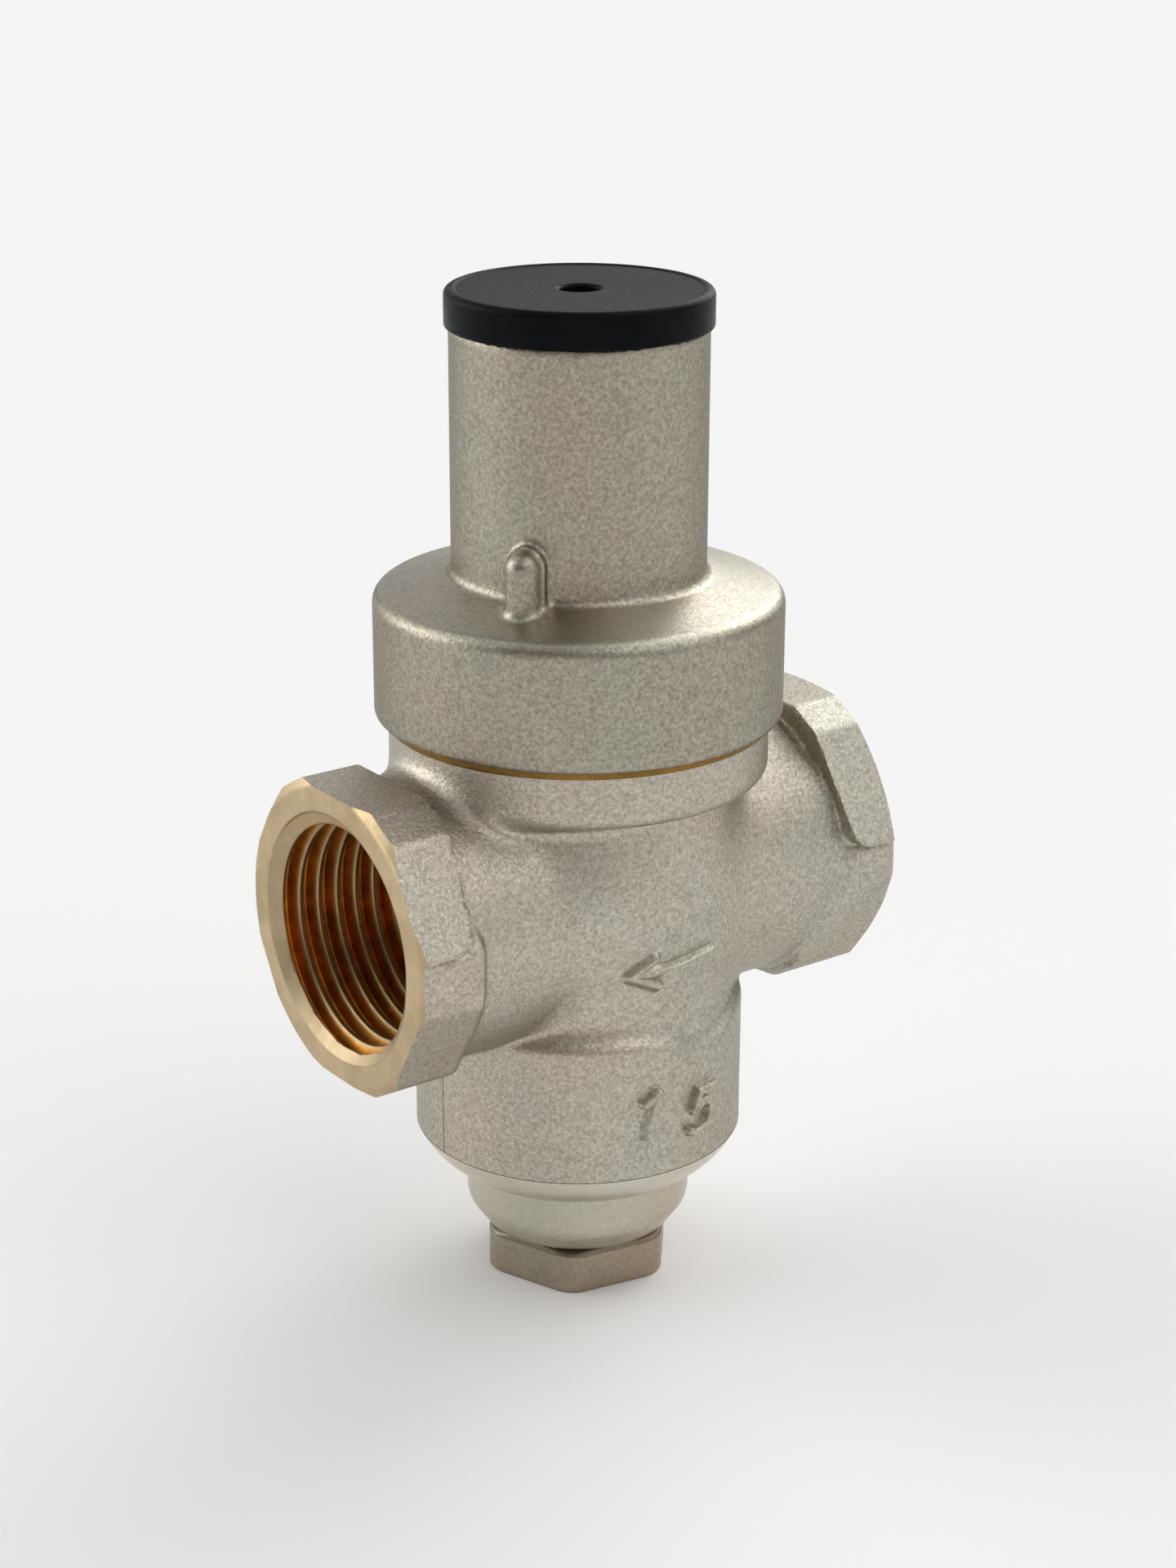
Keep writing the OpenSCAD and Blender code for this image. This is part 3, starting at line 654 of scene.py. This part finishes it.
def axes_of(tree):
    """Outputs X, Y and Z of the place on the piece."""
    split = add(tree, "ShaderNodeSeparateXYZ")
    tree.links.new(position(tree), split.inputs["Vector"])
    return split.outputs


def band(tree, axis, middle, half):
    """1 near a plane across one axis, 0 away from it, for a line of half width half."""
    away = calculate(tree, "ABSOLUTE", calculate(tree, "SUBTRACT", axes_of(tree)[axis], middle))
    return spread(tree, away, (half * 0.5, half), (1, 0))


def blasted_nickel(name, color, grain, roughness, edge=1.0, speck=1.0, parting=False):
    """Nickel plate on a blasted surface: bright and dark specks, faint stains and soft mottling."""
    m, tree, shader = new_material(name, color, roughness, 1.0)
    warm = (color[0] * 1.05, color[1] * 0.96, color[2] * 0.93)
    cool = (color[0] * 0.98, color[1] * 1.0, color[2] * 1.0)
    tint = mix(tree, spread(tree, noise(tree, 75, 2.0), (0.38, 0.62), (0, 1)), cool, warm)
    stain = spread(tree, noise(tree, 420, 4.0, 0.65), (0.30, 0.46), (0.35, 0))
    tint = mix(tree, stain, tint, shade(color, 0.72))
    fine = noise(tree, 3100, 4.0, 0.8)
    dark = mix(tree, spread(tree, fine, (0.36, 0.5), (0.58 * speck, 0)), tint, shade(color, 0.5))
    tint = mix(tree, spread(tree, fine, (0.5, 0.66), (0, 0.65 * speck)), dark, shade(color, 1.5))
    if parting:
        seam = band(tree, "Y", 0.0, 0.1 * MM)
        low = band(tree, "Z", FORGING_Z * MM, (LEDGE_Z - FORGING_Z) * MM)
        tint = mix(tree, calculate(tree, "MULTIPLY", seam, low), tint, shade(color, 0.35))
    shader.inputs["Specular Tint"].default_value = (*grey(edge), 1)
    tree.links.new(tint, shader.inputs["Base Color"])
    gloss = spread(tree, fine, (0.3, 0.7), (roughness + 0.08, roughness - 0.08))
    tree.links.new(gloss, shader.inputs["Roughness"])
    bump(tree, shader, noise(tree, 2800, 3.5, 0.75), grain, 0.0001)
    return m


def turned_metal(name, light, dark, roughness, stretch=(1, 1, 1), line_scale=900):
    """Turned metal: fine tool lines, with soft stains."""
    m, tree, shader = new_material(name, light, roughness, 1.0)
    lines = noise(tree, line_scale, 4.0, 0.7, stretch)
    stain = spread(tree, noise(tree, 260, 3.0, 0.6), (0.36, 0.66), (0, 1))
    color = mix(tree, stain, light, dark)
    color = mix(tree, spread(tree, lines, (0.3, 0.7), (0.3, 0)), color, shade(dark, 0.75))
    tree.links.new(color, shader.inputs["Base Color"])
    gloss = spread(tree, lines, (0.3, 0.7), (roughness - 0.08, roughness + 0.12))
    tree.links.new(gloss, shader.inputs["Roughness"])
    bump(tree, shader, lines, 0.18, 0.00005)
    return m


def threaded_brass(name, crest, root, roughness):
    """Brass of the port threads: crests in one colour, roots deeper than the mouth more orange and blotched
    darker.
    """
    m, tree, shader = new_material(name, crest, roughness, 1.0)
    place = axes_of(tree)
    radial = add(tree, "ShaderNodeCombineXYZ")
    tree.links.new(place["Y"], radial.inputs["Y"])
    tree.links.new(calculate(tree, "SUBTRACT", place["Z"], PORT_Z * MM), radial.inputs["Z"])
    length = add(tree, "ShaderNodeVectorMath", operation="LENGTH")
    tree.links.new(radial.outputs["Vector"], length.inputs[0])
    depth = spread(tree, length.outputs["Value"], (9.38 * MM, 9.75 * MM), (0, 1))
    along = calculate(tree, "ABSOLUTE", place["X"])
    inside = spread(tree, along, ((PORT_X - 1.0) * MM, (PORT_X - 0.6) * MM), (1, 0))
    blotch = spread(tree, noise(tree, 500, 3.0), (0.35, 0.65), (0, 1))
    blotched_root = mix(tree, blotch, root, shade(root, 0.6))
    color = mix(tree, calculate(tree, "MULTIPLY", depth, inside), crest, blotched_root)
    tree.links.new(color, shader.inputs["Base Color"])
    lines = noise(tree, 900, 3.0, 0.7, (8, 1, 1))
    gloss = spread(tree, lines, (0.3, 0.7), (roughness - 0.06, roughness + 0.12))
    tree.links.new(gloss, shader.inputs["Roughness"])
    bump(tree, shader, lines, 0.12, 0.00004)
    return m


def moulded(name, color, roughness, grain_scale, gloss=0.5):
    """Moulded plastic or rubber with a fine matte grain."""
    m, tree, shader = new_material(name, color, roughness, 0.0)
    shader.inputs["Specular IOR Level"].default_value = gloss
    shader.inputs["Specular Tint"].default_value = (0.91, 0.98, 1, 1)
    grain = noise(tree, grain_scale, 3.0, 0.6)
    paler = tuple(c * 1.3 + 0.002 for c in color)
    patch = spread(tree, noise(tree, 300), (0.3, 0.7), (0, 1))
    tree.links.new(mix(tree, patch, color, paler), shader.inputs["Base Color"])
    matte = spread(tree, grain, (0.3, 0.7), (roughness - 0.07, roughness + 0.09))
    tree.links.new(matte, shader.inputs["Roughness"])
    bump(tree, shader, grain, 0.14, 0.00005)
    return m


plate = blasted_nickel(
    "nickel_body", (0.496, 0.474, 0.401), grain=0.65, roughness=0.40, edge=0.66, parting=True)
bonnet_plate = blasted_nickel(
    "nickel_bonnet", (0.370, 0.354, 0.288), grain=0.5, roughness=0.38, edge=0.5)
# Shoulder plate: its lighter base colour on upward faces is painted light; its finer grain and lower
# roughness are a real smoother finish.
shoulder_plate_painted_light = blasted_nickel(
    "nickel_shoulder_painted_light", (0.47, 0.452, 0.378), grain=0.3, roughness=0.36, edge=0.8, speck=0.7)
foot_plate = blasted_nickel(
    "nickel_turned", (0.69, 0.67, 0.575), grain=0.06, roughness=0.33, speck=0.2)
plug_plate = blasted_nickel(
    "nickel_plug", (0.55, 0.52, 0.43), grain=0.12, roughness=0.36, speck=0.35)
plug_hex = blasted_nickel(
    "nickel_hexagon", (0.385, 0.338, 0.258), grain=0.2, roughness=0.42, speck=0.4)
# Dark plate on the hexagon's top chamfer and the neck below the collar: painted shade.
plug_neck_painted_shade = blasted_nickel(
    "nickel_neck_painted_shade", (0.24, 0.21, 0.16), grain=0.2, roughness=0.46, edge=0.5, speck=0.4)
face_brass = turned_metal("brass_face", (0.59, 0.46, 0.28), (0.45, 0.34, 0.19), roughness=0.36)
thread_brass = threaded_brass("brass_thread", (0.42, 0.31, 0.165), (0.82, 0.37, 0.058), roughness=0.38)
# Darker brass on each port mouth's chamfer: painted shade, a shadow line round the mouth.
mouth_brass_painted_shade = turned_metal("brass_mouth_painted_shade", (0.47, 0.365, 0.225), (0.38, 0.29, 0.17), roughness=0.36)
bare_brass = turned_metal(
    "brass_machined", (0.68, 0.50, 0.25), (0.58, 0.40, 0.18), roughness=0.3,
    stretch=(1, 1, 6), line_scale=700)
# Brass land much darker than the bare brass: painted shade in the gap under the housing's skirt.
shaded_land_brass = turned_metal(
    "brass_land_painted_shade", (0.32, 0.18, 0.05), (0.20, 0.11, 0.03), roughness=0.4,
    stretch=(1, 1, 6), line_scale=700)
steel = turned_metal(
    "stainless_steel", (0.56, 0.56, 0.565), (0.48, 0.48, 0.49), roughness=0.3,
    stretch=(1, 1, 6), line_scale=800)
wire = turned_metal("spring_wire", (0.30, 0.31, 0.33), (0.22, 0.23, 0.25), roughness=0.35)
black = moulded("cap_black", (0.003, 0.0038, 0.0048), roughness=0.36, grain_scale=2400, gloss=0.047)
rubber = moulded("seal_rubber", (0.02, 0.02, 0.021), roughness=0.6, grain_scale=1800)
white = moulded("bearing_white", (0.78, 0.78, 0.75), roughness=0.5, grain_scale=1500)


# Forged body with its turned foot and land

def machined(middle, normal):
    """Which faces of the body are bare: the port faces and everything inside."""
    near, facing, skin_depth, cone_reach = 0.05, 0.95, 0.3, 2
    x, y, z = middle.T
    along, q = np.abs(x), np.hypot(y, z - PORT_Z)
    outward = np.sign(x) * normal[:, 0]
    radial = (y * normal[:, 1] + (z - PORT_Z) * normal[:, 2]) / np.maximum(q, 0.01)
    face = (along > PORT_X - near) & (outward > facing)
    on_cone = (np.abs(port_cone(x, y, z)) < 0.08) & (along > PORT_X - cone_reach)
    face |= on_cone & (outward * CONE_X + radial * CONE_Q > facing)
    inner = forging_skin(x, y, z) < -skin_depth
    return np.where(face, 1, np.where(inner, 2, 0))


points, faces = skin(forging, *BODY_GRID)
body = make_piece("forged_body", points, faces, [plate, face_brass, bare_brass],
                  "plated_brass", pick=machined)
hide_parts("valve_body")

foot_outline = rounded([
    (PLUG_BORE_R, FORGING_Z + FOOT_LAP, 0), (PLUG_BORE_R, SEAL_SEAT_Z, 0), (SEAL_SEAT_R, SEAL_SEAT_Z, 0),
    (SEAL_SEAT_R, FOOT_Z, 0), (FOOT_FACE_R, FOOT_Z, 0), FOOT_CURVE,
    (FOOT_TOP_R, FORGING_Z - FOOT_GROOVE, 0), (FOOT_INNER_R, FORGING_Z - FOOT_GROOVE, 0),
    (FOOT_INNER_R, FORGING_Z + FOOT_LAP, 0)], steps=16)
make_piece("body_turned_foot", *lathe(foot_outline), [foot_plate], "plated_brass")

neck_outline = rounded([
    (NECK_BORE_R, LAND_Z, 0), (LAND_R, LAND_Z, 0.12), (LAND_R, HOUSING_Z, 0.1), (NECK_R, HOUSING_Z, 0),
    (NECK_R, NECK_TOP, 0.5), (NECK_BORE_R, NECK_TOP, 0)], steps=4)
make_piece("body_turned_land", *lathe(neck_outline), [shaded_land_brass], "bare_brass")


# Port threads

def mouth_chamfer(middle, normal):
    """Which faces of a threaded wall are the chamfer at its mouth, which takes a darker brass as painted
    shade.
    """
    x, y, z = middle.T
    depth = PORT_X - np.abs(x)
    away = np.hypot(y, z - PORT_Z) - MOUTH_R + MOUTH_SLOPE * depth
    return (depth < MOUTH_DEPTH) & (np.abs(away) < 0.1)


for side, name in ((-1, "outlet_thread"), (1, "inlet_thread")):
    make_piece(name, *thread_liner(side), [thread_brass, mouth_brass_painted_shade], "bare_brass", sharp=60,
               pick=mouth_chamfer)

# Raised arrow and number on the front, as paths of (x, z) points
ARROW_TIP = (-4.35, 31.9)
ARROW_HEAD = [[ARROW_TIP, (-2.3, 33.3)], [ARROW_TIP, (-1.6, 32.0)], [ARROW_TIP, (-1.7, 30.65)]]
ARROW_SHAFT = [(-2.4, 32.05), (3.9, 32.7)]
arrow = [raised_stroke(p, half=0.85, height=0.55, field=forging_skin, soft=0.95) for p in ARROW_HEAD]
arrow.append(raised_stroke(ARROW_SHAFT, half=0.5, height=0.6, field=forging_skin, soft=0.9))
make_piece("flow_arrow", *join(arrow), [plate], "plated_brass", sharp=70)

NUMBER_SLANT = 0.3
NUMBER_FOOT = 17.0
FIVE_MIDDLE = (2.1, 17.95)
FIVE_R = 1.3
FIVE_TURN = [math.radians(a) for a in range(140, -131, -15)]
UPRIGHT = [
    [(-4.3, 20.5), (-3.3, 21.4), (-3.3, 17.6)],
    [(3.2, 20.3), (1.3, 20.3), (1.15, 18.7)],
    [(FIVE_MIDDLE[0] + FIVE_R * math.cos(a), FIVE_MIDDLE[1] + FIVE_R * math.sin(a)) for a in FIVE_TURN],
]
NUMBER = [[(x + NUMBER_SLANT * (z - NUMBER_FOOT), z) for x, z in path] for path in UPRIGHT]
number = [raised_stroke(p, half=0.6, height=0.65, field=forging_skin) for p in NUMBER]
make_piece("size_number", *join(number), [plate], "plated_brass", sharp=70)


# Spring housing and cap

def housing_zone(middle, normal):
    """Spring housing finishes: blasted outside, a smoother shoulder whose upward faces take a lighter plate
    as painted light, bare inside.
    """
    r, z = np.hypot(middle[:, 0], middle[:, 1]), middle[:, 2]
    shoulder = (r > TUBE_R + 0.4) & (z > SHOULDER_Z - 0.2) & (normal[:, 2] > 0.8)
    inside = (r < TUBE_BORE_R + 0.1) | ((r < SKIRT_BORE_R + 0.08) & (z < SKIRT_BORE_TOP + 0.1))
    return np.where(inside, 2, shoulder)


points, faces = skin(bonnet, *BONNET_GRID)
housing = make_piece("spring_bonnet", points, faces, [bonnet_plate, shoulder_plate_painted_light, bare_brass],
                     "plated_brass", pick=housing_zone)
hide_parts("spring_housing")

cap_outline = rounded([
    (CAP_HOLE_R, CAP_UNDER_Z, 0.1), (CAP_SPIGOT_BORE_R, CAP_UNDER_Z, 0.3),
    (CAP_SPIGOT_BORE_R, CAP_SPIGOT_Z, 0.15), (CAP_SPIGOT_R, CAP_SPIGOT_Z, 0.3),
    (CAP_SPIGOT_R, TUBE_TOP + CAP_GAP, 0), (CAP_R, TUBE_TOP + CAP_GAP, 0.2), (CAP_R, CAP_TOP, 0.55),
    (CAP_RIM_R, CAP_TOP, 0.2), (CAP_RIM_R - 0.2, CAP_TOP - CAP_SINK, 0.2),
    (CAP_HOLE_R + 0.25, CAP_TOP - CAP_SINK, 0.15), (CAP_HOLE_R, CAP_TOP - 0.3, 0.1)])
cap = make_piece("push_in_cap", *lathe(cap_outline), [black], "cap_plastic", body="cap")
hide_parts("top_cap")


# Bottom plug

def plug_zone(middle, normal):
    """Plug finishes by height: darker brownish hexagon, painted shade on the hexagon's top chamfer and neck,
    plated collar, bare spigot.
    """
    return np.digitize(middle[:, 2], (PLUG_HEX_Z - 0.75, PLUG_HEX_Z + 0.15, FOOT_Z - 0.1))


points, faces = skin(plug, *PLUG_GRID)
plug_piece = make_piece("hexagon_plug", points, faces, [plug_hex, plug_neck_painted_shade, plug_plate, bare_brass],
                        "plug_brass", pick=plug_zone)
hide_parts("bottom_plug")

# Setting spring, made as a lower and an upper half of its turns
for name, turns, bodies, low, high in (
        ("setting_spring_lower", (0, SPRING_TURNS // 2), ("piston_group", "housing"),
         SPRING_LOW, SPRING_MIDDLE - SPRING_WIRE_R),
        ("setting_spring_upper", (SPRING_TURNS // 2, SPRING_TURNS), ("housing", "thrust"),
         SPRING_MIDDLE + SPRING_WIRE_R, SPRING_HIGH)):
    points, faces = wound_spring(*turns)
    mesh = bpy.data.meshes.new(name)
    mesh.from_pydata((points * MM).tolist(), [], faces)
    mesh.materials.append(wire)
    mesh.shade_smooth()
    spring = bpy.data.objects.new(name, mesh)
    bpy.context.scene.collection.objects.link(spring)
    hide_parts("setting_spring")
    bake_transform(spring)

# Finishes of the inner solids
INNER = {
    bare_brass: ["adjusting_screw", "piston", "disc_holder"],
    steel: ["thrust_washer", "valve_stem", "stem_nut", "seat_ring", "disc_washer"],
    rubber: ["plug_o_ring", "piston_o_ring", "seat_o_ring", "disc_seal", "balance_o_ring"],
    white: ["piston_backup_ring", "piston_guide_ring"],
}
for finish, nodes in INNER.items():
    for name in nodes:
        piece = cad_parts[name]
        piece.data.materials.clear()
        piece.data.materials.append(finish)

# Floor in metres, as (radius, height) of its flat and of its low far rim
FLOOR_SIDES = 96
FLOOR_RINGS = [(2.6, 0.0), (4.2, 0.15)]
around = [2 * math.pi * i / FLOOR_SIDES for i in range(FLOOR_SIDES)]
floor_points = [(r * math.cos(a), r * math.sin(a), z) for r, z in FLOOR_RINGS for a in around]
floor_faces = [tuple(range(FLOOR_SIDES))]
for i in range(FLOOR_SIDES):
    after = (i + 1) % FLOOR_SIDES
    floor_faces.append((i, FLOOR_SIDES + i, FLOOR_SIDES + after, after))
floor_mesh = bpy.data.meshes.new("floor")
floor_mesh.from_pydata(floor_points, [], floor_faces)
floor_finish, _, floor_shader = new_material("floor_pale", grey(0.88), 0.9, 0.0)
floor_shader.inputs["Specular IOR Level"].default_value = 0.0
floor_mesh.materials.append(floor_finish)
floor = bpy.data.objects.new("floor", floor_mesh)
bpy.context.scene.collection.objects.link(floor)

# Directions of the studio, as the camera stands: front is towards it
TURN = math.radians(36.14)
FRONT = Vector((-math.sin(TURN), -math.cos(TURN), 0))
RIGHT = Vector((math.cos(TURN), -math.sin(TURN), 0))
UP = Vector((0, 0, 1))


def studio(azimuth, elevation):
    """Direction towards a light, in degrees round from the camera's side to its right, and up."""
    a, e = math.radians(azimuth), math.radians(elevation)
    return (FRONT * math.cos(a) + RIGHT * math.sin(a)) * math.cos(e) + UP * math.sin(e)


world = bpy.data.worlds.new("studio")
bpy.context.scene.world = world
world.use_nodes = True
sky = world.node_tree


def glow(azimuth, elevation, color, near, far):
    """Soft light panel in the world: full colour within near degrees, gone at far degrees."""
    facing = add(sky, "ShaderNodeVectorMath", operation="DOT_PRODUCT")
    sky.links.new(add(sky, "ShaderNodeTexCoord").outputs["Generated"], facing.inputs[0])
    facing.inputs[1].default_value = studio(azimuth, elevation)
    n = add(sky, "ShaderNodeMapRange", interpolation_type="SMOOTHSTEP")
    for i, v in enumerate((math.cos(math.radians(far)), math.cos(math.radians(near)), 0, 1)):
        n.inputs[i + 1].default_value = v
    sky.links.new(facing.outputs["Value"], n.inputs[0])
    panel = add(sky, "ShaderNodeVectorMath", operation="SCALE")
    panel.inputs[0].default_value = color
    sky.links.new(n.outputs[0], panel.inputs["Scale"])
    return panel.outputs["Vector"]


# Light: an even base, soft panels as azimuth, elevation, colour, near and far, and one broad sun
AMBIENT = 0.085
PANELS = [
    (148, 26, grey(2.7), 8, 33),
    (128, 56, grey(1.12), 8, 40),
    (-103, 10, grey(2.75), 8, 40),
    (-165, 25, grey(0.5), 8, 42),
    (75, 28, grey(0.7), 8, 42),
    (42, 52, grey(1.0), 8, 36),
    (0, 8, (0.27, 0.15, 0.12), 10, 36),
]
light = None
for panel in PANELS:
    n = add(sky, "ShaderNodeVectorMath", operation="ADD")
    n.inputs[0].default_value = grey(AMBIENT)
    if light:
        sky.links.new(light, n.inputs[0])
    sky.links.new(glow(*panel), n.inputs[1])
    light = n.outputs["Vector"]
sky.links.new(light, sky.nodes["Background"].inputs["Color"])
sky.nodes["Background"].inputs["Strength"].default_value = 1

KEY_FROM = (-85, 50)
KEY_ENERGY = 0.50
KEY_WIDTH = math.radians(55)
key_data = bpy.data.lights.new("key", "SUN")
key_data.energy = KEY_ENERGY
key_data.angle = KEY_WIDTH
key = bpy.data.objects.new("key", key_data)
key.rotation_euler = (-studio(*KEY_FROM)).to_track_quat("-Z", "Y").to_euler()
bpy.context.scene.collection.objects.link(key)

# Camera, fitted to the photograph
SENSOR = 36
FOCAL_PIXELS = 3690
PHOTO_HEIGHT_PIXELS = 1920
CAMERA_AWAY = 238.19
CAMERA_Z = 131.1
PITCH, YAW, ROLL = (math.radians(a) for a in (20.1, 0.1935, 0.195))
camera_data = bpy.data.cameras.new("camera")
camera_data.sensor_fit = "AUTO"
camera_data.sensor_width = SENSOR
camera_data.lens = SENSOR * FOCAL_PIXELS / PHOTO_HEIGHT_PIXELS
camera_data.clip_start = 0.01
camera = bpy.data.objects.new("camera", camera_data)
bpy.context.scene.collection.objects.link(camera)
forward = Vector((math.sin(YAW) * math.cos(PITCH), math.cos(YAW) * math.cos(PITCH), -math.sin(PITCH)))
level = Vector((math.cos(YAW), -math.sin(YAW), 0))
upright = level.cross(forward)
right = level * math.cos(ROLL) + upright * math.sin(ROLL)
up = upright * math.cos(ROLL) - level * math.sin(ROLL)
axes = Matrix((right, up, -forward)).transposed().to_4x4()
place = Matrix.Translation((0, -CAMERA_AWAY * MM, CAMERA_Z * MM)) @ axes
camera.matrix_world = Matrix.Rotation(-TURN, 4, "Z") @ place
bpy.context.scene.camera = camera

bpy.context.scene.view_settings.view_transform = "Standard"
